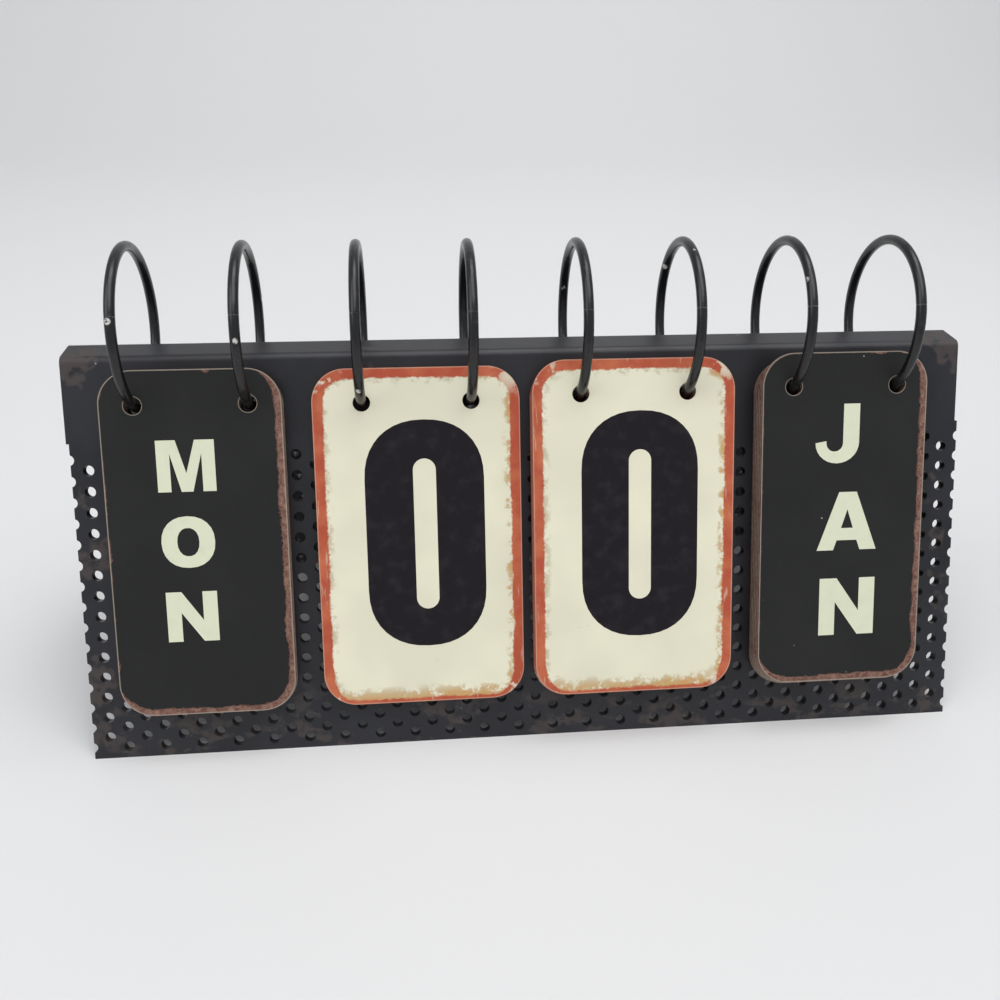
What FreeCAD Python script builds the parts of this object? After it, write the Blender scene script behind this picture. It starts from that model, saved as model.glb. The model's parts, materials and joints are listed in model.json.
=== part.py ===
"""Perpetual desk calendar: a folded tent stand of perforated sheet, eight wire rings and four decks of cards.

Lengths are in millimetres and angles in degrees.
X runs along the stand with +X to the right, the front faces -Y and Z is up.
The origin is on the table under the middle of the top shelf.
"""
import FreeCAD, Part
import math
import os

import Sketcher
from FreeCAD import Placement, Rotation, Vector

doc = FreeCAD.newDocument("perpetual_desk_calendar")

# Driving dimensions

SIZES = {
    # Stand
    "stand_length": 274.0,
    "stand_height": 112.5,
    "shelf_depth": 11.0,
    "leg_lean": 23.0,
    "sheet": 1.5,
    "leg_sheet": 3.0,
    "bend_radius": 0.8,
    "seam_drop": 25.0,
    "leg_shift": 0.8,
    # Perforation of both legs
    "hole_diameter": 3.2,
    "hole_pitch": 6.35,
    "first_row_drop": 29.8,
    "first_column_inset": -0.48,
    # Rings
    "ring_radius": 23.3,
    "wire_diameter": 3.0,
    "ring_rise": 6.7,
    "ring_pitch": 32.65,
    "row_shift": -1.5,
    "ring_hole": 5.2,
    "ring_gap": 0.2,
    "gap_angle": 28.0,
    # Cards
    "card_height": 103.5,
    "digit_card_width": 62.0,
    "word_card_width": 52.0,
    "card_thickness": 1.0,
    "card_corner": 10.0,
    "card_hole": 5.2,
    "card_hole_drop": 10.2,
    "card_gap": 0.4,
    "first_gap": 0.6,
    "hang": 0.3,
}

# Decks from left to right: name, number of cards, width of its cards
DECKS = (
    ("day", 4, "word_card_width"),
    ("tens", 2, "digit_card_width"),
    ("units", 5, "digit_card_width"),
    ("month", 6, "word_card_width"),
)
RINGS_PER_DECK = 2

sheet = doc.addObject("Spreadsheet::Sheet", "Sizes")
for row, (alias, value) in enumerate(SIZES.items(), start=1):
    sheet.set(f"A{row}", alias)
    sheet.set(f"B{row}", str(value))
    sheet.setAlias(f"B{row}", alias)
doc.recompute()


def size(alias):
    """The value that the spreadsheet holds under this name."""
    return float(getattr(sheet, alias))


# Directions on the front leg, as (y, z)

lean = math.radians(size("leg_lean"))
DOWN = Vector(0, -math.sin(lean), -math.cos(lean))
OUT = Vector(0, -math.cos(lean), math.sin(lean))
FRONT_FOLD = Vector(0, -size("shelf_depth") / 2, size("stand_height"))
RING_CENTRE = Vector(0, 0, size("stand_height") + size("ring_rise"))
FACING_FRONT = Rotation(Vector(1, 0, 0), 90 - size("leg_lean"))
FACING_REAR = Rotation(Vector(0, 0, 1), 180) * FACING_FRONT


def wire_crossing(outward):
    """Where a ring's wire crosses the plane that lies this far out from the front leg's face."""
    centre = RING_CENTRE - FRONT_FOLD
    off_plane = outward - centre.dot(OUT)
    drop = centre.dot(DOWN) + math.sqrt(size("ring_radius") ** 2 - off_plane ** 2)
    return FRONT_FOLD + DOWN * drop + OUT * outward


def ring_place(index):
    """Distance along X of a ring, counted from 0 at the left."""
    count = len(DECKS) * RINGS_PER_DECK
    return size("row_shift") + (index - (count - 1) / 2) * size("ring_pitch")


# Helpers for bodies

def new_body(name):
    body = doc.addObject("PartDesign::Body", name)
    body.Label = name
    return body


def origin_plane(body, role):
    return next(f for f in body.Origin.OriginFeatures if f.Role == role)


def new_sketch(body, name, role):
    sketch = body.newObject("Sketcher::SketchObject", name)
    sketch.AttachmentSupport = [(origin_plane(body, role), "")]
    sketch.MapMode = "FlatFace"
    return sketch


def drive(sketch, constraint, expression):
    """Add a constraint and bind its value to the spreadsheet."""
    sketch.setExpression(f"Constraints[{sketch.addConstraint(constraint)}]", expression)


def place_point(sketch, line, end, across, up, across_rule, up_rule):
    drive(sketch, Sketcher.Constraint("DistanceX", -1, 1, line, end, across), across_rule)
    drive(sketch, Sketcher.Constraint("DistanceY", -1, 1, line, end, up), up_rule)


def closed_outline(sketch, corners):
    """A closed outline of straight lines. Each corner is (x, y, rule for x, rule for y)."""
    points = [Vector(x, y, 0) for x, y, _, _ in corners]
    lines = [
        sketch.addGeometry(Part.LineSegment(a, b), False)
        for a, b in zip(points, points[1:] + points[:1])
    ]
    for line, following in zip(lines, lines[1:] + lines[:1]):
        sketch.addConstraint(Sketcher.Constraint("Coincident", line, 2, following, 1))
    for line, (x, y, x_rule, y_rule) in zip(lines, corners):
        place_point(sketch, line, 1, x, y, x_rule, y_rule)


def circle(sketch, x, y, diameter, x_rule, y_rule, diameter_rule):
    disc = sketch.addGeometry(Part.Circle(Vector(x, y, 0), Vector(0, 0, 1), diameter / 2), False)
    place_point(sketch, disc, 3, x, y, x_rule, y_rule)
    drive(sketch, Sketcher.Constraint("Diameter", disc, diameter), diameter_rule)


def pad(body, sketch, name, rule):
    feature = body.newObject("PartDesign::Pad", name)
    feature.Profile = sketch
    feature.Midplane = True
    feature.setExpression("Length", rule)
    doc.recompute()
    return feature


def pocket(body, sketch, name, rule):
    feature = body.newObject("PartDesign::Pocket", name)
    feature.Profile = sketch
    feature.Midplane = True
    feature.setExpression("Length", rule)
    doc.recompute()
    return feature


def round_edges(body, base, name, rule, wanted):
    """Fillet the straight edges of a feature that the test picks out."""
    names = [
        f"Edge{i}"
        for i, edge in enumerate(base.Shape.Edges, start=1)
        if isinstance(edge.Curve, Part.Line) and wanted(edge)
    ]
    feature = body.newObject("PartDesign::Fillet", name)
    feature.Base = (base, names)
    feature.setExpression("Radius", rule)
    doc.recompute()
    return feature


# Stand

def top_channel():
    """The plain folded cap: a flat shelf with a short skirt down each side, bored for the rings."""
    body = new_body("top_channel")
    half, height, thick = size("shelf_depth") / 2, size("stand_height"), size("sheet")
    drop = size("seam_drop")
    sin, cos = math.sin(lean), math.cos(lean)
    fold = thick * (1 - sin) / cos

    half_rule, height_rule, thick_rule = "Sizes.shelf_depth / 2", "Sizes.stand_height", "Sizes.sheet"
    sin_rule, cos_rule = "sin(Sizes.leg_lean * 1deg)", "cos(Sizes.leg_lean * 1deg)"
    seam_y = f"({half_rule} + Sizes.seam_drop * {sin_rule})"
    seam_z = f"({height_rule} - Sizes.seam_drop * {cos_rule})"
    fold_rule = f"({half_rule} - {thick_rule} * (1 - {sin_rule}) / {cos_rule})"

    front = [
        (half + drop * sin - thick * cos, height - drop * cos - thick * sin,
         f"{seam_y} - {thick_rule} * {cos_rule}", f"{seam_z} - {thick_rule} * {sin_rule}"),
        (half + drop * sin, height - drop * cos, seam_y, seam_z),
        (half, height, half_rule, height_rule),
    ]
    inner = (half - fold, height - thick, fold_rule, f"{height_rule} - {thick_rule}")

    def mirrored(corner):
        y, z, y_rule, z_rule = corner
        return -y, z, f"-({y_rule})", z_rule

    outline = new_sketch(body, "cap_outline", "YZ_Plane")
    closed_outline(
        outline,
        [mirrored(c) for c in front] + front[::-1] + [inner, mirrored(inner)],
    )
    doc.recompute()
    cap = pad(body, outline, "cap_pad", "Sizes.stand_length")

    def near(edge, y, z):
        middle = edge.CenterOfMass
        return abs(abs(middle.y) - y) < 0.01 and abs(middle.z - z) < 0.01

    cap = round_edges(body, cap, "outer_bends", "Sizes.bend_radius + Sizes.sheet",
                      lambda e: near(e, half, height))
    cap = round_edges(body, cap, "inner_bends", "Sizes.bend_radius",
                      lambda e: near(e, half - fold, height - thick))

    holes = new_sketch(body, "ring_holes_outline", "XZ_Plane")
    holes.AttachmentOffset = Placement(Vector(0, height, half), Rotation(Vector(1, 0, 0), -size("leg_lean")))
    holes.setExpression("AttachmentOffset.Base.y", height_rule)
    holes.setExpression("AttachmentOffset.Base.z", half_rule)
    holes.setExpression("AttachmentOffset.Rotation.Angle", "-Sizes.leg_lean")
    hole_drop = (wire_crossing(-thick / 2) - FRONT_FOLD).dot(DOWN)
    for index in range(len(DECKS) * RINGS_PER_DECK):
        middle = (len(DECKS) * RINGS_PER_DECK - 1) / 2
        circle(holes, ring_place(index), -hole_drop, size("ring_hole"),
               f"Sizes.row_shift + ({index - middle}) * Sizes.ring_pitch",
               f"-({RING_HOLE_DROP_RULE})", "Sizes.ring_hole")
    doc.recompute()
    front_holes = pocket(body, holes, "front_ring_holes", "4 * Sizes.sheet")
    mirror = body.newObject("PartDesign::Mirrored", "rear_ring_holes")
    mirror.Originals = [front_holes]
    mirror.MirrorPlane = (origin_plane(body, "XZ_Plane"), [""])
    body.Tip = mirror
    doc.recompute()
    return body


# Drop from the fold to a ring hole, along the leg: the ring's circle cut by the middle of the sheet
RING_HOLE_DROP_RULE = (
    "Sizes.shelf_depth / 2 * -sin(Sizes.leg_lean * 1deg) - Sizes.ring_rise * cos(Sizes.leg_lean * 1deg)"
    " + sqrt(Sizes.ring_radius ^ 2 - (-Sizes.sheet / 2 + Sizes.shelf_depth / 2 * cos(Sizes.leg_lean * 1deg)"
    " - Sizes.ring_rise * sin(Sizes.leg_lean * 1deg)) ^ 2)"
)


def perforated_leg(name, turn, at, shift):
    """A flat perforated sheet from the cap's seam down to the table, with its edges sheared through holes."""
    length, pitch = size("stand_length"), size("hole_pitch")
    radius, thick = size("hole_diameter") / 2, size("leg_sheet")
    top, slant = size("seam_drop"), size("stand_height") / math.cos(lean)
    overrun = thick * math.tan(lean)
    left, right = shift - length / 2, shift + length / 2
    bottom = -slant - overrun

    # Staggered rows: each hole's six neighbours stand one pitch away
    step = pitch * math.sqrt(3) / 2
    first_column = left + size("first_column_inset")
    columns = int((right - first_column + radius) / step) + 1
    rows = int((slant - size("first_row_drop") + radius) / pitch) + 1
    inside, edge = [], []
    for column in range(columns):
        x = first_column + column * step
        for row in range(rows):
            y = -(size("first_row_drop") + (row + column % 2 / 2) * pitch)
            hole = Part.makeCircle(radius, Vector(x, y, 0))
            room = min(x - left, right - x, y - bottom) - radius
            if room > radius / 4:
                inside.append(Part.Wire(hole.reversed()))
            elif room > -2 * radius:
                edge.append(Part.Face(Part.Wire(hole)))

    blank = Part.makePlane(length, -top - bottom, Vector(left, bottom, 0))
    rim = max(blank.cut(edge).Faces, key=lambda face: face.Area).OuterWire
    leg = Part.Face([rim] + inside).extrude(Vector(0, 0, -thick))
    leg.Placement = Placement(at, turn)
    under = Part.makeBox(3 * length, 3 * length, length, Vector(-1.5 * length, -1.5 * length, -length))
    leg = max(leg.cut(under).Solids, key=lambda solid: solid.Volume)

    feature = doc.addObject("Part::Feature", name)
    feature.Label = name
    feature.Shape = leg
    feature.Placement = Placement()
    return feature


# Rings

def hanging_ring(index):
    """A wire bent to a circle, with a small gap between its two cut ends."""
    name = f"hanging_ring_{index + 1}"
    body = new_body(name)
    section = new_sketch(body, f"{name}_section", "XZ_Plane")
    circle(section, size("ring_radius"), 0, size("wire_diameter"),
           "Sizes.ring_radius", "0", "Sizes.wire_diameter")
    doc.recompute()
    ring = body.newObject("PartDesign::Revolution", f"{name}_wire")
    ring.Profile = section
    ring.ReferenceAxis = (section, ["V_Axis"])
    ring.setExpression("Angle", "360 - Sizes.ring_gap / Sizes.ring_radius * 180 / pi")
    doc.recompute()

    # The sketch plane holds the cut end: it turns until the gap is above the front of the shelf
    body.Placement = Placement(
        Vector(ring_place(index), 0, RING_CENTRE.z),
        Rotation(Vector(1, 0, 0), 180 - size("gap_angle")) * Rotation(Vector(0, 0, 1), 90) * Rotation(Vector(1, 0, 0), 90),
    )
    body.setExpression("Placement.Base.z", "Sizes.stand_height + Sizes.ring_rise")
    return body


# Cards

def card(name, width_alias, middle, outward):
    """A flat metal card with round corners, hung by two holes. Its origin is between the holes."""
    body = new_body(name)
    half, top = size(width_alias) / 2, size("card_hole_drop")
    bottom = top - size("card_height")
    half_rule, top_rule = f"Sizes.{width_alias} / 2", "Sizes.card_hole_drop"
    bottom_rule = f"{top_rule} - Sizes.card_height"
    outline = new_sketch(body, f"{name}_outline", "XY_Plane")
    closed_outline(outline, [
        (-half, bottom, f"-{half_rule}", bottom_rule),
        (half, bottom, half_rule, bottom_rule),
        (half, top, half_rule, top_rule),
        (-half, top, f"-{half_rule}", top_rule),
    ])
    doc.recompute()
    plate = pad(body, outline, f"{name}_plate", "Sizes.card_thickness")
    round_edges(body, plate, f"{name}_corners", "Sizes.card_corner",
                lambda e: abs(e.tangentAt(e.FirstParameter).z) > 0.9)
    holes = new_sketch(body, f"{name}_holes_outline", "XY_Plane")
    for side in (-1, 1):
        circle(holes, side * size("ring_pitch") / 2, 0, size("card_hole"),
               f"{side} * Sizes.ring_pitch / 2", "0", "Sizes.card_hole")
    doc.recompute()
    pocket(body, holes, f"{name}_holes", "2 * Sizes.card_thickness")
    body.Placement = Placement(
        wire_crossing(outward) + DOWN * size("hang") + Vector(middle, 0, 0), FACING_FRONT
    )
    return body


def deck(index, name, count, width_alias):
    """The cards that hang one behind the other on a pair of rings. Card 1 is the front one."""
    rings = [ring_place(index * RINGS_PER_DECK + side) for side in range(RINGS_PER_DECK)]
    step = size("card_thickness") + size("card_gap")
    return [
        card(f"{name}_card_{number}", width_alias, sum(rings) / len(rings),
             size("first_gap") + size("card_thickness") / 2 + (count - number) * step)
        for number in range(1, count + 1)
    ]


def build():
    pieces = [
        top_channel(),
        perforated_leg("front_leg", FACING_FRONT, FRONT_FOLD, size("leg_shift")),
        perforated_leg("rear_leg", FACING_REAR, Vector(0, -FRONT_FOLD.y, FRONT_FOLD.z), -size("leg_shift")),
    ]
    pieces += [hanging_ring(index) for index in range(len(DECKS) * RINGS_PER_DECK)]
    for index, (name, count, width_alias) in enumerate(DECKS):
        pieces += deck(index, name, count, width_alias)
    doc.recompute()
    return pieces


def check(pieces):
    failed = [o.Name for o in doc.Objects if {"Invalid", "Error"} & set(o.State)]
    failed += [p.Label for p in pieces if p.Shape.isNull() or not p.Shape.isValid()]
    if failed:
        raise RuntimeError("not built: " + ", ".join(failed))


def write(pieces):
    os.makedirs("parts", exist_ok=True)
    for piece in pieces:
        piece.Shape.exportStep(f"parts/{piece.Label}.step")
        print(piece.Label, len(piece.Shape.Solids), round(piece.Shape.Volume, 1))


sub_parts = build()
check(sub_parts)
write(sub_parts)
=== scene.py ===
"""Finishes, printing and studio for the perpetual desk calendar.

Lengths are in metres. X runs along the stand, the cards face -Y and Z is up.
"""

import json
import math

import bpy
from mathutils import Matrix, Vector
from mathutils.geometry import tessellate_polygon


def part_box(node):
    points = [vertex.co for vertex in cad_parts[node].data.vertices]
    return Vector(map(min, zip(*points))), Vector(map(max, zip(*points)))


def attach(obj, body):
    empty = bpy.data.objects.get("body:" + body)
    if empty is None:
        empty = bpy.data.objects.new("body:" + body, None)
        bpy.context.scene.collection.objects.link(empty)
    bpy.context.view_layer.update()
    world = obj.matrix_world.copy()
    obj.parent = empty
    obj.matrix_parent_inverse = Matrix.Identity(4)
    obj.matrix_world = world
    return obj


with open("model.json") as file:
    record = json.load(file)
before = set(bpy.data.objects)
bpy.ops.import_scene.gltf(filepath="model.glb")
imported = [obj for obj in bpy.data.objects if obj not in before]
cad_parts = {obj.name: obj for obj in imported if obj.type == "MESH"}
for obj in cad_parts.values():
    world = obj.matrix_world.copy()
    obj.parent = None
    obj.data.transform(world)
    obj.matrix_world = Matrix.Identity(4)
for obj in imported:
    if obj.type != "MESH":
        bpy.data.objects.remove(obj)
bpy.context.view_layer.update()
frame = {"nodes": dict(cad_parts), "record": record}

bl_info = {
    "name": "Perpetual desk calendar",
    "version": (1, 0, 0),
    "blender": (4, 5, 0),
    "location": "View3D > Sidebar > Calendar",
    "description": "Dresses the calendar's stand, rings and cards and sets up the studio",
    "category": "Object",
}

MM = 0.001

# Directions on the front leg, where the cards rest
LEG_LOW, LEG_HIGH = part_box("front_leg")
LEG_LEAN = math.radians(23)
ACROSS = Vector((1, 0, 0))
UP = Vector((0, math.sin(LEG_LEAN), math.cos(LEG_LEAN)))
OUT = Vector((0, -math.cos(LEG_LEAN), math.sin(LEG_LEAN)))

# A card's two ring holes, from its middle
HOLE_ACROSS = 16.325 * MM
HOLE_RISE = 41.55 * MM
HOLE_RADIUS = 2.6 * MM

# Ink stands off a card's face by this much, and each further layer by a little more
INK_LIFT = 0.02 * MM
INK_STEP = 0.004 * MM

WORD_DECKS = ("day", "month")
DIGIT_DECKS = ("tens", "units")
FRONTS = {
    "day": ("MON", "TUE", "WED", "THU"),
    "tens": ("0", "1"),
    "units": ("0", "1", "2", "3", "4"),
    "month": ("JAN", "FEB", "MAR", "APR", "MAY", "JUN"),
}
FIRST_BACKS = {"day": "SUN", "tens": "3", "units": "9", "month": "DEC"}


# Shader maths

class Value:
    """A shader socket that can be added, scaled and compared like a number."""

    def __init__(self, graph, socket):
        self.graph, self.socket = graph, socket

    def maths(self, operation, *operands):
        return self.graph.add("ShaderNodeMath", {"operation": operation}, dict(enumerate(operands)))

    def __add__(self, other):
        return self.maths("ADD", self, other)

    def __radd__(self, other):
        return self.maths("ADD", other, self)

    def __sub__(self, other):
        return self.maths("SUBTRACT", self, other)

    def __rsub__(self, other):
        return self.maths("SUBTRACT", other, self)

    def __mul__(self, other):
        return self.maths("MULTIPLY", self, other)

    def __abs__(self):
        return self.maths("ABSOLUTE", self)

    def least(self, other):
        return self.maths("MINIMUM", self, other)

    def most(self, other):
        return self.maths("MAXIMUM", self, other)

    def root(self):
        return self.maths("SQRT", self)

    def ramp(self, low, high):
        """0 below low, 1 above high and a smooth step between."""
        return self.graph.add(
            "ShaderNodeMapRange",
            {"interpolation_type": "SMOOTHSTEP", "clamp": True},
            {"Value": self, "From Min": low, "From Max": high},
        )


class Graph:
    """The node tree of one material, with its shader ready."""

    def __init__(self, name):
        self.material = bpy.data.materials.new(name)
        self.material.use_nodes = True
        self.tree = self.material.node_tree
        self.shader = self.tree.nodes["Principled BSDF"]
        self.place = self.add("ShaderNodeTexCoord", {}, {}, "Object")

    def link(self, source, target):
        if isinstance(source, Value):
            self.tree.links.new(source.socket, target)
        elif hasattr(target.default_value, "__len__") and len(target.default_value) == 4:
            target.default_value = (*source, 1.0)[:4]
        else:
            target.default_value = source

    def add(self, kind, settings, inputs, output=0):
        """A node of this type: its settings first, then the values or links of its sockets."""
        node = self.tree.nodes.new(kind)
        for name, value in settings.items():
            setattr(node, name, value)
        for name, value in inputs.items():
            self.link(value, node.inputs[name])
        return Value(self, node.outputs[output])

    def noise(self, size, detail=3.0, roughness=0.55, stretch=(1, 1, 1)):
        """Cloudy noise from 0 to 1 whose blotches are about this size."""
        spread = self.add("ShaderNodeVectorMath", {"operation": "MULTIPLY"},
                          {0: self.place, 1: tuple(s / size for s in stretch)})
        return self.add("ShaderNodeTexNoise", {}, {
            "Vector": spread, "Scale": 1.0, "Detail": detail, "Roughness": roughness})

    def specks(self, spacing, radius):
        """1 in small scattered dots."""
        spread = self.add("ShaderNodeVectorMath", {"operation": "SCALE"},
                          {0: self.place, "Scale": 1.0 / spacing})
        reach = self.add("ShaderNodeTexVoronoi", {}, {"Vector": spread, "Scale": 1.0}, "Distance")
        return 1.0 - reach.ramp(radius / spacing * 0.6, radius / spacing)

    def along(self, direction, origin):
        """Distance of each point from the origin, along a direction."""
        moved = self.add("ShaderNodeVectorMath", {"operation": "SUBTRACT"},
                         {0: self.place, 1: tuple(origin)})
        return self.add("ShaderNodeVectorMath", {"operation": "DOT_PRODUCT"},
                        {0: moved, 1: tuple(direction)}, "Value")

    def facing(self, direction):
        """Cosine of the angle between the surface and a direction of the rest pose."""
        normal = self.add("ShaderNodeTexCoord", {}, {}, "Normal")
        return self.add("ShaderNodeVectorMath", {"operation": "DOT_PRODUCT"},
                        {0: normal, 1: tuple(direction)}, "Value")

    def mix(self, amount, below, above):
        """One colour at amount 0 and the other at amount 1."""
        return self.add("ShaderNodeMix", {"data_type": "RGBA"},
                        {0: amount, 6: below, 7: above}, 2)

    def finish(self, colour, roughness, metallic=0.0, bump=None, bump_depth=0.0, gloss=0.5):
        """Wires the shader's inputs and returns the material."""
        self.link(colour, self.shader.inputs["Base Color"])
        self.link(roughness, self.shader.inputs["Roughness"])
        self.link(metallic, self.shader.inputs["Metallic"])
        self.shader.inputs["Specular IOR Level"].default_value = gloss
        if bump is not None:
            self.link(
                self.add("ShaderNodeBump", {}, {"Height": bump, "Distance": bump_depth, "Strength": 1.0}),
                self.shader.inputs["Normal"],
            )
        return self.material


# Materials

def stand_paint(looks):
    """Satin black paint on sheet steel, rubbed to grey brown in patches and near the ends."""
    graph = Graph("stand_paint")
    x = graph.along((1, 0, 0), (0, 0, 0))
    z = graph.along((0, 0, 1), (0, 0, 0))
    half = (LEG_HIGH[0] - LEG_LOW[0]) / 2
    near_end = abs(x).ramp(half - 0.030, half - 0.004)
    near_foot = 1.0 - z.ramp(0.004, 0.030)

    # Broad patches anywhere, and streaks that run along the foot
    patches = (graph.noise(0.030, 4.0, 0.6) + near_end * 0.07).ramp(0.63, 0.66)
    patches = patches * graph.noise(0.004, 4.0).ramp(0.36, 0.52)
    streaks = graph.noise(0.016, 5.0, 0.65, stretch=(1.0, 0.6, 2.2)) + near_foot * 0.10
    streaks = streaks.ramp(0.62, 0.66) * near_foot * graph.noise(0.003, 3.0).ramp(0.30, 0.55)
    rubbed = (patches * 0.85).most(streaks * 0.8)

    grain = graph.noise(0.0009, 2.0)
    dust = graph.noise(0.020).ramp(0.35, 0.65)
    colour = graph.mix(dust, looks.stand_colour, looks.stand_haze)
    colour = graph.mix(rubbed, colour, looks.stand_wear)
    colour = graph.mix(graph.specks(0.014, 0.00035) * 0.7, colour, looks.stand_speck)
    rough = 0.36 + rubbed * 0.22 + grain * 0.06
    return graph.finish(colour, rough, bump=grain + rubbed * 0.6, bump_depth=0.00004)


def ring_paint(looks):
    """Thick black enamel on wire, chipped to bare metal in a few spots."""
    graph = Graph("ring_paint")
    chips = graph.specks(0.009, 0.0011) * graph.noise(0.010).ramp(0.47, 0.52)
    chips = chips * graph.noise(0.0012).ramp(0.34, 0.44)
    rub = graph.noise(0.005, 4.0).ramp(0.60, 0.75) * 0.25
    colour = graph.mix(rub, looks.ring_colour, looks.ring_rub)
    colour = graph.mix(chips, colour, looks.ring_chip)
    rough = 0.24 + chips * 0.2 + rub * 0.3
    return graph.finish(colour, rough, bump=graph.noise(0.003, 3.0) - chips * 0.8, bump_depth=0.00012)


def card_reach(graph, card, corner):
    """Distance from a point on a card to the card's outline, positive inside."""
    across = abs(graph.along(ACROSS, card["middle"]))
    rise = abs(graph.along(UP, card["middle"]))
    dx = across - (card["half_width"] - corner)
    dy = rise - (card["half_height"] - corner)
    outside = (dx.most(0.0) * dx.most(0.0) + dy.most(0.0) * dy.most(0.0)).root()
    return corner - outside - dx.most(dy).least(0.0)


def hole_rims(graph, card):
    """1 on the thin bare rim of a card's two holes."""
    across = abs(graph.along(ACROSS, card["middle"])) - HOLE_ACROSS
    rise = graph.along(UP, card["middle"]) - HOLE_RISE
    distance = (across * across + rise * rise).root()
    return 1.0 - distance.ramp(HOLE_RADIUS + 0.0001, HOLE_RADIUS + 0.0003)


def cut_edge(graph):
    """1 on a card's thin sides and 0 on its faces."""
    return 1.0 - abs(graph.facing(OUT)).ramp(0.4, 0.6)


def word_card_paint(looks, card, name):
    """Satin black card, worn to rust along its right side and foot, with a bare cut edge."""
    graph = Graph(name)
    half_width, half_height = card["half_width"], card["half_height"]
    reach = card_reach(graph, card, looks.card_corner)
    rise = graph.along(UP, card["middle"])
    across = graph.along(ACROSS, card["middle"])
    fine = graph.noise(0.0013, 5.0, 0.75)
    low = 1.0 - rise.ramp(0.001 - half_height, 0.010 - half_height)
    high = rise.ramp(half_height - 0.003, half_height) * graph.noise(0.012, 2.0).ramp(0.52, 0.60)
    right = across.ramp(half_width - 0.007, half_width - 0.002)

    # Rust eats in from the outline, with a ragged border
    ragged = (fine - 0.5) * 0.0030 + (graph.noise(0.008, 3.0) - 0.5) * 0.0028
    width = 0.0001 + low * 0.0019 + right * 0.0019 + high * 0.0016
    rust = 1.0 - (reach + ragged).ramp(width - 0.0002, width + 0.0002)
    rust_colour = graph.mix(fine.ramp(0.35, 0.68), looks.rust_dark, looks.rust_light)
    rim = (1.0 - reach.ramp(0.0002, 0.00042)).most(hole_rims(graph, card))

    colour = graph.mix(graph.noise(0.03).ramp(0.3, 0.7), looks.word_card_colour, looks.word_card_haze)
    colour = graph.mix(rust * 0.92, colour, rust_colour)
    colour = graph.mix(rim * 0.75, colour, looks.bare_edge)

    # The sides are rusty, with bare metal towards both faces
    edge = cut_edge(graph)
    skin = abs(graph.along(OUT, card["middle"])).ramp(0.00028, 0.00042)
    side = graph.mix(skin * graph.noise(0.006, 3.0).ramp(0.35, 0.55), rust_colour, looks.bare_edge)
    colour = graph.mix(edge, colour, side)
    specks = graph.specks(0.011, 0.00026) * graph.noise(0.03).ramp(0.45, 0.55)
    colour = graph.mix(specks, colour, looks.word_card_speck)
    rough = 0.44 + rust * 0.2 + graph.noise(0.006) * 0.08
    return graph.finish(colour, rough, metallic=edge * 0.3, bump=fine * 0.4 - rust * 0.6,
                        bump_depth=0.00006, gloss=0.22)


def digit_card_paint(looks, card, name):
    """Cream card with a rubbed orange rim, stains beside it and scuffed corners."""
    graph = Graph(name)
    half_width, half_height = card["half_width"], card["half_height"]
    reach = card_reach(graph, card, looks.card_corner)
    rise = graph.along(UP, card["middle"])
    across = graph.along(ACROSS, card["middle"])
    fine = graph.noise(0.0013, 5.0, 0.75)
    low = 1.0 - rise.ramp(-half_height, 0.009 - half_height)
    right = across.ramp(0.0, half_width)

    # The printed rim, with a ragged inner border
    ragged = (fine - 0.5) * 0.0020 + (graph.noise(0.010, 3.0) - 0.5) * 0.0016
    width = looks.rim_width - low * 0.0019
    orange = 1.0 - (reach + ragged).ramp(width - 0.0003, width + 0.0003)
    red = graph.mix(graph.noise(0.009, 4.0).ramp(0.38, 0.72), looks.rim_colour, looks.rim_pale)
    scratch = graph.noise(0.0016, 3.0, 0.6, stretch=(1.0, 0.12, 0.12)).ramp(0.64, 0.72)
    red = graph.mix(scratch * 0.35, red, looks.cream_shade)

    # Smudges in a band just inside the rim: dull all round, and ochre to the right and at the foot
    band = 1.0 - (reach - width).ramp(0.0004, 0.0030 + low * 0.0030)
    smudge = (graph.noise(0.0042, 5.0, 0.72) + band * 0.11 + low * 0.11).ramp(0.55, 0.69) * band
    ochre = smudge * (right + low).least(1.0).most(0.25)
    ochre_colour = graph.mix(fine.ramp(0.4, 0.6), looks.ochre_colour, looks.amber_colour)
    cream = graph.mix(graph.noise(0.025, 2.0).ramp(0.3, 0.7), looks.cream_colour, looks.cream_shade)
    scuffs = graph.noise(0.004, 6.0, 0.75, stretch=(0.5, 1.0, 1.0)).ramp(0.64, 0.76)
    scuffs = scuffs * graph.noise(0.02).ramp(0.5, 0.62)
    cream = graph.mix(scuffs * 0.3, cream, looks.scuff_colour)
    cream = graph.mix(smudge * 0.55, cream, looks.scuff_colour)
    cream = graph.mix(ochre * 0.85, cream, ochre_colour)

    # Corners rubbed bare
    corner = abs(rise).ramp(half_height - 0.010, half_height - 0.003)
    corner = corner * abs(across).ramp(half_width - 0.011, half_width - 0.003)
    bare = (graph.noise(0.005, 4.0) + corner * 0.10).ramp(0.60, 0.66) * corner
    rim = 1.0 - reach.ramp(0.0002, 0.0004)
    colour = graph.mix(orange, cream, red)
    colour = graph.mix(bare * 0.85, colour, looks.cream_shade)
    colour = graph.mix(rim * 0.5, colour, looks.rim_cut)

    skin = abs(graph.along(OUT, card["middle"])).ramp(0.00025, 0.00042)
    side = graph.mix(skin * fine.ramp(0.4, 0.55), looks.rim_colour, looks.bare_edge)
    colour = graph.mix(cut_edge(graph), colour, side)
    specks = graph.specks(0.008, 0.00022) * band.most(orange)
    colour = graph.mix(specks * 0.8, colour, looks.digit_card_speck)
    rough = 0.42 + smudge * 0.15 + fine * 0.05
    return graph.finish(colour, rough, bump=fine * 0.3 - orange * 0.5, bump_depth=0.00005, gloss=0.3)


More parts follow.
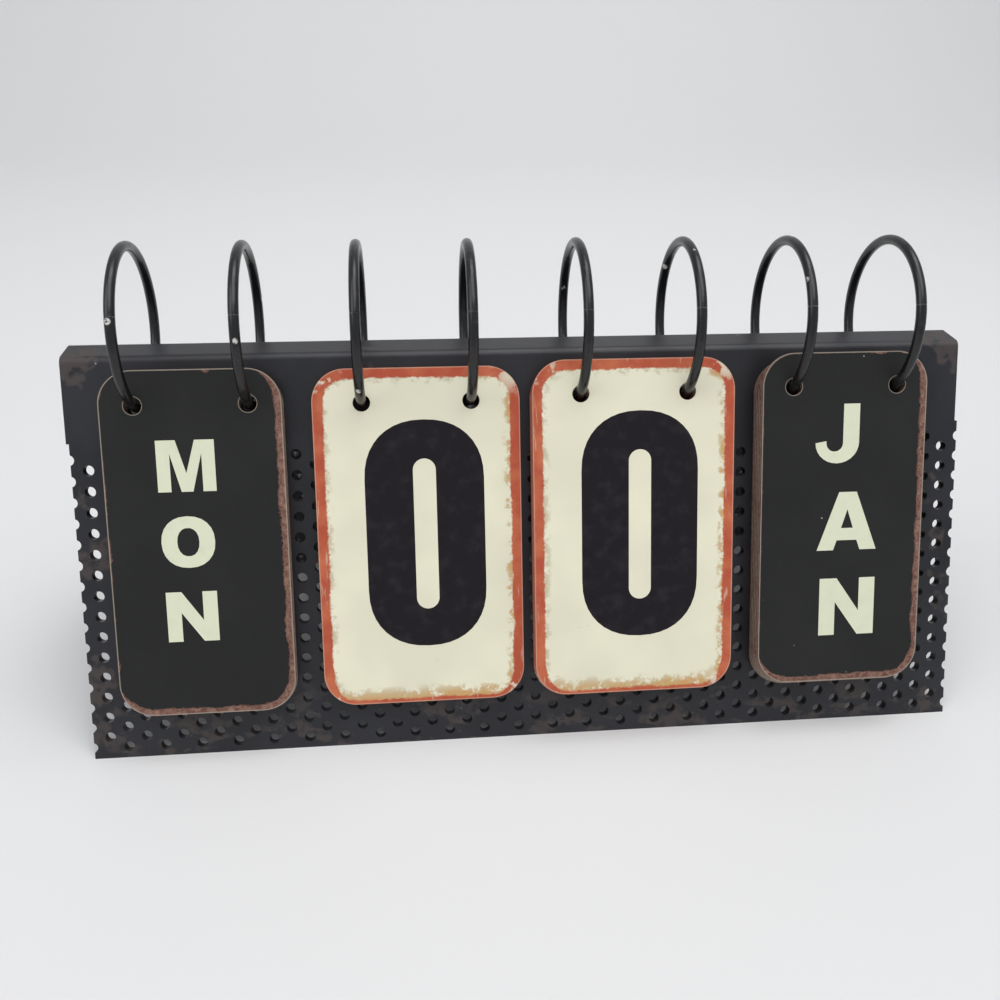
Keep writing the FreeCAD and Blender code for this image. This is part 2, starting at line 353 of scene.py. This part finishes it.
def print_ink(name, colour, fleck):
    """Screen-printed ink, slightly uneven."""
    graph = Graph(name)
    tone = graph.mix(graph.noise(0.004, 4.0).ramp(0.45, 0.75) * 0.5, colour, fleck)
    rough = 0.42 + graph.noise(0.002) * 0.08
    return graph.finish(tone, rough, bump=graph.noise(0.0008), bump_depth=0.00002, gloss=0.2)


def plain_finish(name, colour, roughness):
    """A nearly even matt colour, for the studio."""
    graph = Graph(name)
    tone = graph.mix(graph.noise(0.25, 2.0) * 0.5, colour, tuple(c * 0.985 for c in colour))
    return graph.finish(tone, roughness)


# Lettering: outlines on a square of height 1, each part an outer line and its holes

def arc(cx, cy, rx, ry, start, stop, steps=14, power=2.0):
    """Points on an ellipse, or on a squarer curve where the power is over 2."""
    points = []
    for i in range(steps + 1):
        angle = math.radians(start + (stop - start) * i / steps)
        c, s = math.cos(angle), math.sin(angle)
        points.append((cx + rx * math.copysign(abs(c) ** (2 / power), c),
                       cy + ry * math.copysign(abs(s) ** (2 / power), s)))
    return points


def stroke(points, width):
    """The outline of a line of even width through these points."""
    line = [Vector(p) for p in points]
    left, right = [], []
    for i, point in enumerate(line):
        before = (point - line[i - 1]).normalized() if i else (line[1] - point).normalized()
        after = (line[i + 1] - point).normalized() if i + 1 < len(line) else before
        way = (before + after).normalized()
        side = Vector((-way.y, way.x)) * width / 2 / max(way.dot(before), 0.5)
        left.append(tuple(point + side))
        right.append(tuple(point - side))
    return left + right[::-1]


def bowl(left, low, high, right, thick, stem):
    """The hole of a round-sided letter between a stem and its bowl."""
    middle, half = (low + high) / 2, (high - low) / 2
    curve = arc(left, middle, right - left, half, 90, -90, 8)
    return [(stem, low), (stem, high), (left, high)] + curve[1:]


STEM = 0.28
LETTERS = {
    "A": [([(0, 0), (.37, 1), (.68, 1), (1.05, 0), (.76, 0), (.70, .17), (.35, .17), (.29, 0)],
           [[(.42, .38), (.525, .70), (.63, .38)]])],
    "B": [([(0, 0), (0, 1), (.55, 1)] + arc(.55, .755, .30, .245, 90, -78, 10)
           + arc(.57, .27, .33, .27, 78, -90, 10),
           [bowl(.50, .62, .80, .58, 0, STEM), bowl(.52, .20, .42, .61, 0, STEM)])],
    "C": [(stroke(arc(.48, .5, .35, .385, 38, 322, 24), .25), [])],
    "D": [([(0, 0), (0, 1), (.42, 1)] + arc(.42, .5, .50, .5, 90, -90),
           [bowl(.38, .22, .78, .63, 0, STEM)])],
    "E": [([(0, 0), (0, 1), (.80, 1), (.80, .78), (STEM, .78), (STEM, .61), (.75, .61), (.75, .40),
            (STEM, .40), (STEM, .22), (.82, .22), (.82, 0)], [])],
    "F": [([(0, 0), (0, 1), (.78, 1), (.78, .78), (STEM, .78), (STEM, .60), (.71, .60), (.71, .38),
            (STEM, .38), (STEM, 0)], [])],
    "H": [([(0, 0), (0, 1), (STEM, 1), (STEM, .63), (.66, .63), (.66, 1), (.94, 1), (.94, 0), (.66, 0),
            (.66, .40), (STEM, .40), (STEM, 0)], [])],
    "J": [([(.48, 1), (.76, 1), (.76, .36)] + arc(.38, .35, .38, .35, 0, -180)
           + [(.19, .38)] + arc(.335, .34, .145, .14, 180, 360, 8), [])],
    "M": [([(0, 0), (0, 1), (.37, 1), (.55, .36), (.73, 1), (1.10, 1), (1.10, 0), (.85, 0), (.85, .74),
            (.66, 0), (.44, 0), (.25, .74), (.25, 0)], [])],
    "N": [([(0, 0), (0, 1), (.30, 1), (.70, .42), (.70, 1), (.98, 1), (.98, 0), (.69, 0), (STEM, .58),
            (STEM, 0)], [])],
    "O": [(arc(.5, .5, .51, .51, 0, 345, 23, 2.2), [arc(.5, .5, .21, .28, 0, 340, 17, 2.2)])],
    "P": [([(0, 0), (0, 1), (.55, 1)] + arc(.55, .68, .33, .32, 90, -90, 10)
           + [(STEM, .36), (STEM, 0)],
           [bowl(.50, .57, .79, .59, 0, STEM)])],
    "R": [([(0, 0), (0, 1), (.56, 1)] + arc(.56, .70, .32, .30, 90, -62, 10)
           + [(.94, 0), (.62, 0), (.42, .38), (STEM, .38), (STEM, 0)],
           [bowl(.50, .59, .79, .58, 0, STEM)])],
    "S": [(stroke(arc(.42, .695, .28, .195, 18, 262, 16)
                  + arc(.44, .295, .30, .195, 82, -162, 16), .22), [])],
    "T": [([(0, .77), (0, 1), (.90, 1), (.90, .77), (.59, .77), (.59, 0), (.31, 0), (.31, .77)], [])],
    "U": [([(0, 1), (STEM, 1), (STEM, .38)] + arc(.48, .38, .20, .17, 180, 360, 8)[1:]
           + [(.68, 1), (.96, 1), (.96, .38)] + arc(.48, .38, .48, .38, 0, -180)[1:], [])],
    "W": [([(0, 1), (.28, 1), (.42, .42), (.56, 1), (.84, 1), (.98, .42), (1.12, 1), (1.40, 1), (1.14, 0),
            (.85, 0), (.70, .60), (.55, 0), (.26, 0)], [])],
    "Y": [([(0, 1), (.32, 1), (.50, .66), (.68, 1), (1.0, 1), (.64, .40), (.64, 0), (.36, 0),
            (.36, .40)], [])],
}

# Digits are narrow: this wide for a height of 1, with sides this thick and ends this thick
DIGIT_WIDTH, DIGIT_SIDE, DIGIT_END = 0.515, 0.208, 0.168
DIGIT_THIN_SIDE = DIGIT_SIDE * 0.95
MIDDLE = DIGIT_WIDTH / 2
BEND = (DIGIT_WIDTH - DIGIT_SIDE) / 2
# How square the outer corners of a 0 and a 9 are, where 2 is a circle
SQUARENESS = 2.25


def oblong(width, low, high, power=2.0):
    """An upright slot shape centred on a digit, with round ends."""
    r = width / 2
    top = arc(MIDDLE, high - r, r, r, 0, 180, 20, power)
    return top + arc(MIDDLE, low + r, r, r, 180, 360, 20, power)


def bent(low, high):
    """Centre height and half height of a bowl's middle line between two levels."""
    return (low + high) / 2, (high - low - DIGIT_END) / 2


def digit_shapes():
    """Outlines of the digits that the cards carry, on a height of 1."""
    slot = DIGIT_WIDTH - 2 * DIGIT_SIDE
    upper, upper_half = bent(0.44, 1)
    lower, lower_half = bent(0, 0.56)
    left = MIDDLE - BEND
    start = (left, upper - upper_half * 0.1 - 0.04)
    end = (left, lower + 0.05)
    return {
        "0": [(oblong(DIGIT_WIDTH, 0, 1, SQUARENESS), [oblong(slot, DIGIT_END, 1 - DIGIT_END)])],
        "1": [([(.20, 0), (.20, .74), (.04, .74), (.04, .85), (.17, .90), (.23, 1), (.42, 1),
                (.42, 0)], [])],
        "2": [(stroke([start] + arc(MIDDLE, upper, BEND, upper_half, 180, -30, 20)
                      + [(MIDDLE - BEND * 0.8, 0.10)], DIGIT_THIN_SIDE), []),
              ([(.02, 0), (.02, DIGIT_END), (DIGIT_WIDTH, DIGIT_END), (DIGIT_WIDTH, 0)], [])],
        "3": [(stroke([start] + arc(MIDDLE, upper, BEND, upper_half, 180, -80, 22), DIGIT_THIN_SIDE), []),
              (stroke(arc(MIDDLE, lower, BEND, lower_half, 80, -180, 22) + [end], DIGIT_THIN_SIDE), [])],
        "4": [([(.27, 0), (.27, .19), (0, .19), (0, .36), (.22, 1), (.47, 1), (.47, .36), (.54, .36),
                (.54, .19), (.47, .19), (.47, 0)], [[(.165, .36), (.27, .36), (.27, .70)]])],
        "9": [(oblong(DIGIT_WIDTH, 0.40, 1, SQUARENESS),
               [oblong(slot, 0.40 + DIGIT_END, 1 - DIGIT_END)]),
              (stroke([(MIDDLE + BEND, 0.62)] + arc(MIDDLE, lower, BEND, lower_half, 0, -180, 22)
                      + [end], DIGIT_SIDE), [])],
    }


# Cards

def card_place(node):
    """Where a card lies at rest: its middle and half sizes."""
    points = [v.co for v in frame["nodes"][node].data.vertices]
    xs, rises, outs = ([p.dot(way) for p in points] for way in (ACROSS, UP, OUT))
    middle = (ACROSS * (min(xs) + max(xs)) + UP * (min(rises) + max(rises))
              + OUT * (min(outs) + max(outs))) / 2
    return {
        "middle": middle,
        "half_width": (max(xs) - min(xs)) / 2,
        "half_height": (max(rises) - min(rises)) / 2,
        "half_thickness": (max(outs) - min(outs)) / 2,
    }


def body_of(node):
    """The moving body that a CAD node belongs to."""
    return next(body for body, nodes in frame["record"]["behaviour"]["bodies"].items() if node in nodes)


def use_finish(node, material):
    """Puts a material on every face of a CAD node."""
    for slot in frame["nodes"][node].material_slots:
        slot.material = material


def print_piece(name, node, card, shapes, height, left, low, material, behind=False):
    """Ink shapes of this height on a card's face. Left and low place their corner from its middle."""
    side = -1 if behind else 1
    vertices, triangles = [], []
    for layer, (outer, holes) in enumerate(shapes):
        lift = card["half_thickness"] + INK_LIFT + INK_STEP * layer
        lines = [[Vector((x, y, 0)) for x, y in line] for line in (outer, *holes)]
        start = len(vertices)
        for point in (p for line in lines for p in line):
            across, rise = left + point.x * height, low + point.y * height
            vertices.append(card["middle"] + ACROSS * side * across + UP * rise + OUT * side * lift)
        triangles += [tuple(start + i for i in corner) for corner in tessellate_polygon(lines)]
    mesh = bpy.data.meshes.new(name)
    mesh.from_pydata(vertices, [], triangles)
    facing = OUT * side
    for polygon in mesh.polygons:
        if polygon.normal.dot(facing) < 0:
            polygon.flip()
    mesh.materials.append(material)
    piece = bpy.data.objects.new(name, mesh)
    bpy.context.collection.objects.link(piece)
    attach(piece, body_of(node))
    return piece


def print_word(looks, deck, node, card, word, material, behind=False):
    """Three letters down the card."""
    height, pitch, drop, left, slant = (
        getattr(looks, f"{deck}_letter{part}") for part in ("", "_pitch", "_drop", "_left", "_slant"))
    face = "back" if behind else "front"
    for index, letter in enumerate(word):
        low = card["half_height"] - drop - height - index * pitch
        print_piece(f"{node}_{face}_letter_{index + 1}", node, card, LETTERS[letter], height,
                    left + slant * index, low, material, behind)


def print_digit(looks, node, card, digit, material, behind=False):
    """One tall digit in the middle of the card."""
    height = looks.digit_height
    left = looks.digit_shift - DIGIT_WIDTH * height / 2
    low = looks.digit_rise - height / 2
    print_piece(f"{node}_{'back' if behind else 'front'}_digit", node, card, digit_shapes()[digit], height,
                left, low, material, behind)


# Settings

def length(name, description, default):
    """A setting in metres."""
    return bpy.props.FloatProperty(
        name=name, description=description, default=default, unit="LENGTH", precision=5)


def angle(name, description, degrees):
    """A setting kept in radians and given here in degrees."""
    return bpy.props.FloatProperty(
        name=name, description=description, default=math.radians(degrees), subtype="ANGLE")


def tint(name, description, default):
    """A colour setting, in linear light."""
    return bpy.props.FloatVectorProperty(
        name=name, description=description, default=default, size=3, min=0, max=1, subtype="COLOR")


class CalendarLooks(bpy.types.PropertyGroup):
    card_corner: length("Card corner", "Radius of a card's corners", 0.010)
    rim_width: length("Rim width", "Width of the coloured rim on a digit card", 0.0031)
    digit_height: length("Digit height", "Height of a date digit", 0.070)
    digit_shift: length("Digit shift", "How far a digit sits right of its card's middle", 0.0017)
    digit_rise: length("Digit rise", "How far a digit sits above its card's middle", 0.0012)
    day_letter: length("Day letter", "Height of a weekday letter", 0.0152)
    day_letter_pitch: length("Day letter pitch", "Step from letter to letter on a day card", 0.0226)
    day_letter_drop: length("Day letter drop", "From a day card's top to its first letter", 0.0204)
    day_letter_left: length("Day letter left", "Weekday letters' left side, from the middle", -0.0107)
    day_letter_slant: length("Day letter slant", "How far each letter stands right of the last", 0.0)
    month_letter: length("Month letter", "Height of a month letter", 0.0183)
    month_letter_pitch: length("Month letter pitch", "Step from letter to letter on a month card", 0.0273)
    month_letter_drop: length("Month letter drop", "From a month card's top to its first letter", 0.0157)
    month_letter_left: length("Month letter left", "First letter's left side, from the middle", -0.0091)
    month_letter_slant: length("Month letter slant", "How far each letter stands right of the last", 0.0013)
    stand_colour: tint("Stand", "Paint of the stand", (0.009, 0.009, 0.012))
    stand_haze: tint("Stand haze", "Paint of the stand where it is dusty", (0.015, 0.015, 0.019))
    stand_wear: tint("Stand wear", "Rubbed patches on the stand", (0.055, 0.042, 0.037))
    stand_speck: tint("Stand specks", "Pale specks on the stand", (0.42, 0.40, 0.38))
    ring_colour: tint("Rings", "Enamel of the rings", (0.007, 0.007, 0.008))
    ring_rub: tint("Ring rub", "Enamel where it is rubbed", (0.06, 0.055, 0.05))
    ring_chip: tint("Ring chips", "Bare metal in the chips", (0.62, 0.60, 0.57))
    word_card_colour: tint("Word card", "Paint of the day and month cards", (0.0150, 0.0150, 0.0145))
    word_card_haze: tint("Word card haze", "Paler areas of those cards", (0.019, 0.019, 0.018))
    word_card_speck: tint("Word card specks", "Pale specks on those cards", (0.62, 0.60, 0.54))
    rust_dark: tint("Dark rust", "Darker tone of the worn rim", (0.13, 0.052, 0.038))
    rust_light: tint("Light rust", "Lighter tone of the worn rim", (0.32, 0.190, 0.140))
    bare_edge: tint("Bare edge", "Cut metal edge of a card", (0.36, 0.31, 0.25))
    cream_colour: tint("Cream", "Face of a digit card", (0.82, 0.79, 0.60))
    cream_shade: tint("Cream shade", "Duller cream", (0.75, 0.72, 0.55))
    scuff_colour: tint("Scuffs", "Grey scuffs on the cream", (0.42, 0.39, 0.28))
    ochre_colour: tint("Ochre", "Stain on the cream", (0.52, 0.38, 0.13))
    amber_colour: tint("Amber", "Stronger stain on the cream", (0.62, 0.27, 0.07))
    rim_colour: tint("Rim", "Coloured rim of a digit card", (0.44, 0.080, 0.038))
    rim_pale: tint("Pale rim", "Faded part of the coloured rim", (0.56, 0.155, 0.070))
    rim_cut: tint("Cut rim", "Outermost line of the coloured rim", (0.62, 0.42, 0.30))
    digit_card_speck: tint("Digit card specks", "Pale specks near a digit card's rim", (0.85, 0.83, 0.76))
    letter_ink: tint("Letter ink", "Ink of weekday and month letters", (0.72, 0.74, 0.55))
    digit_ink: tint("Digit ink", "Ink of the date digits", (0.0095, 0.0072, 0.0100))
    digit_fleck: tint("Digit flecks", "Paler flecks in the date digits", (0.030, 0.024, 0.030))


class StudioSettings(bpy.types.PropertyGroup):
    camera_place: bpy.props.FloatVectorProperty(
        name="Camera", description="Where the camera stands", size=3,
        default=(-0.0364, -0.2743, 0.2233), subtype="TRANSLATION", unit="LENGTH")
    camera_heading: angle("Heading", "Turn of the camera about Z", -6.14)
    camera_tilt: angle("Tilt", "How far the camera looks down", 31.21)
    camera_roll: angle("Roll", "Turn of the camera about its view", 1.28)
    lens: bpy.props.FloatProperty(
        name="Lens", description="Focal length in millimetres on a 36 mm sensor", default=34.4)
    floor_colour: tint("Floor", "Table and backdrop", (0.73, 0.725, 0.715))
    sky_colour: tint("Sky", "Light from all round", (0.90, 0.93, 1.0))
    sky_strength: bpy.props.FloatProperty(
        name="Sky strength", description="Strength of the light from all round", default=0.54)


# Softboxes: name, place, the point it faces, watts and side length
SOFTBOXES = (
    ("overhead_softbox", (0.20, -0.30, 1.10), (0, 0, 0.06), 6.8, 1.0),
    ("left_softbox", (-0.9, -0.5, 0.9), (0, 0, 0.06), 4.1, 0.9),
    ("backdrop_softbox", (0.3, 0.45, 1.5), (0, 1.6, 0.6), 8.0, 1.2),
)
SENSOR_WIDTH = 36.0  # millimetres


# Pieces

class CALENDAR_OT_stand(bpy.types.Operator):
    """Paint the folded cap and both perforated legs"""
    bl_idname = "calendar.stand"
    bl_label = "Stand"

    def execute(self, context):
        paint = stand_paint(context.scene.calendar_looks)
        for node in ("top_channel", "front_leg", "rear_leg"):
            use_finish(node, paint)
        return {"FINISHED"}


class CALENDAR_OT_rings(bpy.types.Operator):
    """Enamel the wire rings"""
    bl_idname = "calendar.rings"
    bl_label = "Rings"

    def execute(self, context):
        enamel = ring_paint(context.scene.calendar_looks)
        for node in frame["nodes"]:
            if node.startswith("hanging_ring"):
                use_finish(node, enamel)
                frame["nodes"][node].data.shade_smooth()
        return {"FINISHED"}


class CALENDAR_OT_word_cards(bpy.types.Operator):
    """Paint and print the weekday and month cards"""
    bl_idname = "calendar.word_cards"
    bl_label = "Word cards"

    def execute(self, context):
        looks = context.scene.calendar_looks
        ink = print_ink("letter_ink", looks.letter_ink, tuple(c * 0.9 for c in looks.letter_ink))
        for deck in WORD_DECKS:
            for number, word in enumerate(FRONTS[deck], start=1):
                node = f"{deck}_card_{number}"
                card = card_place(node)
                use_finish(node, word_card_paint(looks, card, f"{node}_paint"))
                print_word(looks, deck, node, card, word, ink)
                if number == 1:
                    print_word(looks, deck, node, card, FIRST_BACKS[deck], ink, behind=True)
        return {"FINISHED"}


class CALENDAR_OT_digit_cards(bpy.types.Operator):
    """Paint and print the date cards"""
    bl_idname = "calendar.digit_cards"
    bl_label = "Digit cards"

    def execute(self, context):
        looks = context.scene.calendar_looks
        ink = print_ink("digit_ink", looks.digit_ink, tuple(looks.digit_fleck))
        for deck in DIGIT_DECKS:
            for number, digit in enumerate(FRONTS[deck], start=1):
                node = f"{deck}_card_{number}"
                card = card_place(node)
                use_finish(node, digit_card_paint(looks, card, f"{node}_paint"))
                print_digit(looks, node, card, digit, ink)
                if number == 1:
                    print_digit(looks, node, card, FIRST_BACKS[deck], ink, behind=True)
        return {"FINISHED"}


class CALENDAR_OT_stage(bpy.types.Operator):
    """Set up the table, backdrop, lights and camera"""
    bl_idname = "calendar.stage"
    bl_label = "Stage"

    def execute(self, context):
        studio = context.scene.calendar_studio
        self.table(studio)
        self.lights(context, studio)
        self.camera(context, studio)
        context.scene.view_settings.view_transform = "Standard"
        return {"FINISHED"}

    def table(self, studio):
        """A floor that curves up into a backdrop behind the calendar."""
        width, front, back, rise, bend, steps = 6.0, -2.0, 1.6, 2.4, 0.8, 12
        profile = [(front, 0.0), (back - bend, 0.0)]
        for i in range(1, steps + 1):
            turn = math.pi / 2 * i / steps
            profile.append((back - bend + bend * math.sin(turn), bend - bend * math.cos(turn)))
        profile.append((back, rise))
        vertices = [Vector((x, y, z)) for y, z in profile for x in (-width / 2, width / 2)]
        faces = [(i, i + 1, i + 3, i + 2) for i in range(0, len(vertices) - 2, 2)]
        mesh = bpy.data.meshes.new("studio_sweep")
        mesh.from_pydata(vertices, [], faces)
        mesh.shade_smooth()
        mesh.materials.append(plain_finish("studio_white", tuple(studio.floor_colour), 0.6))
        sweep = bpy.data.objects.new("studio_sweep", mesh)
        bpy.context.collection.objects.link(sweep)

    def lights(self, context, studio):
        """Even light from all round, and three softboxes."""
        world = bpy.data.worlds.new("studio_world")
        world.use_nodes = True
        background = world.node_tree.nodes["Background"]
        background.inputs["Color"].default_value = (*studio.sky_colour, 1.0)
        background.inputs["Strength"].default_value = studio.sky_strength
        context.scene.world = world
        for name, place, aim, power, size in SOFTBOXES:
            lamp = bpy.data.lights.new(name, "AREA")
            lamp.energy, lamp.size = power, size
            holder = bpy.data.objects.new(name, lamp)
            holder.location = place
            holder.rotation_euler = (Vector(aim) - Vector(place)).to_track_quat("-Z", "Y").to_euler()
            bpy.context.collection.objects.link(holder)

    def camera(self, context, studio):
        """The photograph's view."""
        camera = bpy.data.cameras.new("photo_camera")
        camera.lens, camera.sensor_width, camera.clip_start = studio.lens, SENSOR_WIDTH, 0.01
        holder = bpy.data.objects.new("photo_camera", camera)
        holder.matrix_world = (
            Matrix.Translation(studio.camera_place)
            @ Matrix.Rotation(studio.camera_heading, 4, "Z")
            @ Matrix.Rotation(math.pi / 2 - studio.camera_tilt, 4, "X")
            @ Matrix.Rotation(studio.camera_roll, 4, "Z")
        )
        bpy.context.collection.objects.link(holder)
        context.scene.camera = holder


class CALENDAR_PT_panel(bpy.types.Panel):
    """Buttons and settings for the calendar"""
    bl_label = "Calendar"
    bl_idname = "CALENDAR_PT_panel"
    bl_space_type = "VIEW_3D"
    bl_region_type = "UI"
    bl_category = "Calendar"

    def draw(self, context):
        for operator in OPERATORS:
            self.layout.operator(operator.bl_idname)
        for group in (context.scene.calendar_looks, context.scene.calendar_studio):
            for name in group.bl_rna.properties.keys():
                if name not in ("rna_type", "name"):
                    self.layout.prop(group, name)


OPERATORS = (
    CALENDAR_OT_stand, CALENDAR_OT_rings, CALENDAR_OT_word_cards, CALENDAR_OT_digit_cards,
    CALENDAR_OT_stage,
)
CLASSES = (CalendarLooks, StudioSettings, *OPERATORS, CALENDAR_PT_panel)


def register():
    for cls in CLASSES:
        bpy.utils.register_class(cls)
    bpy.types.Scene.calendar_looks = bpy.props.PointerProperty(type=CalendarLooks)
    bpy.types.Scene.calendar_studio = bpy.props.PointerProperty(type=StudioSettings)


def unregister():
    del bpy.types.Scene.calendar_studio
    del bpy.types.Scene.calendar_looks
    for cls in reversed(CLASSES):
        bpy.utils.unregister_class(cls)


def main():
    register()
    bpy.ops.calendar.stand()
    bpy.ops.calendar.rings()
    bpy.ops.calendar.word_cards()
    bpy.ops.calendar.digit_cards()
    bpy.ops.calendar.stage()


if __name__ == "__main__":
    main()
